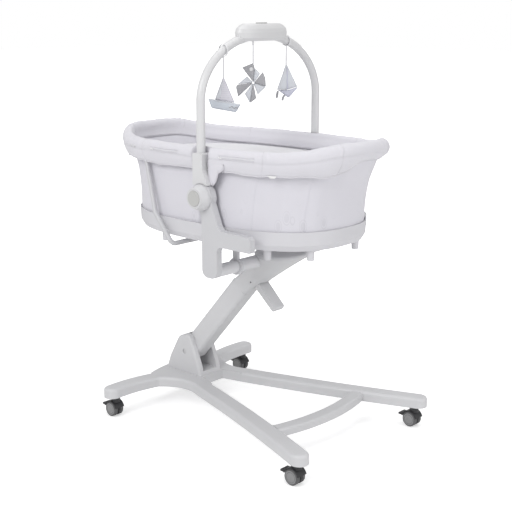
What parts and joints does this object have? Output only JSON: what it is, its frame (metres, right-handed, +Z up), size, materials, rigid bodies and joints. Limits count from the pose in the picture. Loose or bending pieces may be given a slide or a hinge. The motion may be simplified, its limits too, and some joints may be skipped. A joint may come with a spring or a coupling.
{
  "type": "baby cradle",
  "caption": "Oval padded cradle on an inclined height-adjusting leg and a wheeled base, with a lift-off toy arch and hanging soft toys.",
  "frame": {"origin": "on the floor, under the middle of the cradle's bounding box", "axes": "+X towards the foot end, where the front castors stand; +Y to the cradle's left; +Z up"},
  "size_m": [0.9959, 0.708, 1.3113],
  "materials": {
    "plastic": "fine matt moulding",
    "arch_plastic": "satin, off-white",
    "fabric": "woven, very pale lavender grey",
    "lining": "soft woven, pale grey",
    "button_grey": "matt mid grey",
    "castor_dark": "matt near black",
    "castor_tyre": "matt dark grey",
    "steel": "satin",
    "painted_tube": "satin light grey",
    "board": "plain board",
    "toy_blue": "felt, pale blue grey",
    "toy_grey": "felt, mid grey",
    "ribbon": "woven tape"
  },
  "bodies": {
    "base": {"base_hub": "plastic", "hub_bottom_plate": "plastic", "rear_leg_right": "plastic", "rear_leg_left": "plastic", "front_leg_right": "plastic", "front_leg_left": "plastic", "cross_brace": "plastic", "leg_pivot_pin": "steel"},
    "leg": {"support_leg": "plastic", "leg_head": "plastic", "lever_pin": "steel"},
    "lever": {"height_lever": "plastic"},
    "carrier": {"yoke_crossbar": "painted_tube", "yoke_arm_right": "plastic", "yoke_arm_left": "plastic", "joint_drum_right": "plastic", "joint_drum_left": "plastic", "arch_socket_right": "arch_plastic", "arch_socket_left": "arch_plastic", "saddle_post_right": "plastic", "saddle_post_left": "plastic", "tray": "plastic", "tray_feet": "plastic", "basket_wall": "fabric", "rim_tube": "painted_tube", "rim_pad": "fabric", "mattress": "lining", "mattress_board": "board", "board_supports": "plastic", "head_strut": "painted_tube"},
    "arch": {"arch_tube": "arch_plastic", "music_box_base": "arch_plastic", "music_box_cover": "arch_plastic"},
    "button_right": {"side_button_right": "button_grey"},
    "button_left": {"side_button_left": "button_grey"},
    "music_key": {"music_button": "button_grey"},
    "fold_key": {"fold_button": "button_grey"},
    "boat": {"boat_toy": "toy_blue", "boat_toy_ribbon": "ribbon"},
    "kite": {"kite_toy": "toy_grey", "kite_toy_ribbon": "ribbon"},
    "pinwheel": {"pinwheel_toy": "toy_blue", "pinwheel_toy_ribbon": "ribbon"},
    "castor_rear_right": {"castor_fork_rear_right": "castor_dark", "castor_axle_rear_right": "steel"},
    "wheels_rear_right": {"castor_wheels_rear_right": "castor_tyre"},
    "brake_rear_right": {"castor_brake_rear_right": "castor_dark"},
    "castor_rear_left": {"castor_fork_rear_left": "castor_dark", "castor_axle_rear_left": "steel"},
    "wheels_rear_left": {"castor_wheels_rear_left": "castor_tyre"},
    "brake_rear_left": {"castor_brake_rear_left": "castor_dark"},
    "castor_front_right": {"castor_fork_front_right": "castor_dark", "castor_axle_front_right": "steel"},
    "wheels_front_right": {"castor_wheels_front_right": "castor_tyre"},
    "brake_front_right": {"castor_brake_front_right": "castor_dark"},
    "castor_front_left": {"castor_fork_front_left": "castor_dark", "castor_axle_front_left": "steel"},
    "wheels_front_left": {"castor_wheels_front_left": "castor_tyre"},
    "brake_front_left": {"castor_brake_front_left": "castor_dark"}
  },
  "joints": [
    {"name": "leg_swing", "type": "hinge", "parent": "base", "child": "leg", "pos_m": [-0.274, 0, 0.182], "axis": [0, 1, 0], "range_deg": [0, 30]},
    {"name": "carrier_level", "type": "hinge", "parent": "leg", "child": "carrier", "pos_m": [0.086, 0, 0.57], "axis": [0, 1, 0], "range_deg": [-30, 0]},
    {"name": "lever_squeeze", "type": "hinge", "parent": "leg", "child": "lever", "pos_m": [0.03, 0, 0.484], "axis": [0, 1, 0], "range_deg": [-9, 0], "stiffness_Nm_per_rad": 4, "springref_deg": 8.59},
    {"name": "arch_lift", "type": "slide", "parent": "carrier", "child": "arch", "axis": [0, 0, 1], "range_m": [0, 0.08]},
    {"name": "button_press_right", "type": "slide", "parent": "carrier", "child": "button_right", "axis": [0, 1, 0], "range_m": [0, 0.002], "stiffness_N_per_m": 900},
    {"name": "button_press_left", "type": "slide", "parent": "carrier", "child": "button_left", "axis": [0, -1, 0], "range_m": [0, 0.002], "stiffness_N_per_m": 900},
    {"name": "music_press", "type": "slide", "parent": "arch", "child": "music_key", "axis": [0, 0, -1], "range_m": [0, 0.002], "stiffness_N_per_m": 600, "springref_m": -0.0005},
    {"name": "fold_press", "type": "slide", "parent": "base", "child": "fold_key", "axis": [1, 0, 0], "range_m": [0, 0.002], "stiffness_N_per_m": 900},
    {"name": "boat_swing", "type": "hinge", "parent": "arch", "child": "boat", "pos_m": [0.041, -0.17, 1.2302], "axis": [0, 1, 0], "range_deg": [-40, 40]},
    {"name": "kite_swing", "type": "hinge", "parent": "arch", "child": "kite", "pos_m": [0.041, 0.118, 1.25429], "axis": [0, 1, 0], "range_deg": [-40, 40]},
    {"name": "pinwheel_swing", "type": "hinge", "parent": "arch", "child": "pinwheel", "pos_m": [0.041, -0.038, 1.25385], "axis": [0, 1, 0], "range_deg": [-35, 35]},
    {"name": "swivel_rear_right", "type": "hinge", "parent": "base", "child": "castor_rear_right", "pos_m": [-0.344, -0.313, 0.06], "axis": [0, 0, 1], "continuous": true},
    {"name": "roll_rear_right", "type": "hinge", "parent": "castor_rear_right", "child": "wheels_rear_right", "pos_m": [-0.352, -0.313, 0.025], "axis": [0, 1, 0], "continuous": true},
    {"name": "brake_press_rear_right", "type": "hinge", "parent": "castor_rear_right", "child": "brake_rear_right", "pos_m": [-0.38343, -0.313, 0.036], "axis": [0, 1, 0], "range_deg": [-12, 0]},
    {"name": "swivel_rear_left", "type": "hinge", "parent": "base", "child": "castor_rear_left", "pos_m": [-0.344, 0.313, 0.06], "axis": [0, 0, 1], "continuous": true},
    {"name": "roll_rear_left", "type": "hinge", "parent": "castor_rear_left", "child": "wheels_rear_left", "pos_m": [-0.352, 0.313, 0.025], "axis": [0, 1, 0], "continuous": true},
    {"name": "brake_press_rear_left", "type": "hinge", "parent": "castor_rear_left", "child": "brake_rear_left", "pos_m": [-0.38343, 0.313, 0.036], "axis": [0, 1, 0], "range_deg": [-12, 0]},
    {"name": "swivel_front_right", "type": "hinge", "parent": "base", "child": "castor_front_right", "pos_m": [0.456, -0.3, 0.06], "axis": [0, 0, 1], "continuous": true},
    {"name": "roll_front_right", "type": "hinge", "parent": "castor_front_right", "child": "wheels_front_right", "pos_m": [0.448, -0.3, 0.025], "axis": [0, 1, 0], "continuous": true},
    {"name": "brake_press_front_right", "type": "hinge", "parent": "castor_front_right", "child": "brake_front_right", "pos_m": [0.41657, -0.3, 0.036], "axis": [0, 1, 0], "range_deg": [-12, 0]},
    {"name": "swivel_front_left", "type": "hinge", "parent": "base", "child": "castor_front_left", "pos_m": [0.456, 0.3, 0.06], "axis": [0, 0, 1], "continuous": true},
    {"name": "roll_front_left", "type": "hinge", "parent": "castor_front_left", "child": "wheels_front_left", "pos_m": [0.448, 0.3, 0.025], "axis": [0, 1, 0], "continuous": true},
    {"name": "brake_press_front_left", "type": "hinge", "parent": "castor_front_left", "child": "brake_front_left", "pos_m": [0.41657, 0.3, 0.036], "axis": [0, 1, 0], "range_deg": [-12, 0]}
  ],
  "couplings": [
    {"joint": "carrier_level", "follows": "leg_swing", "ratio": -1}
  ]
}
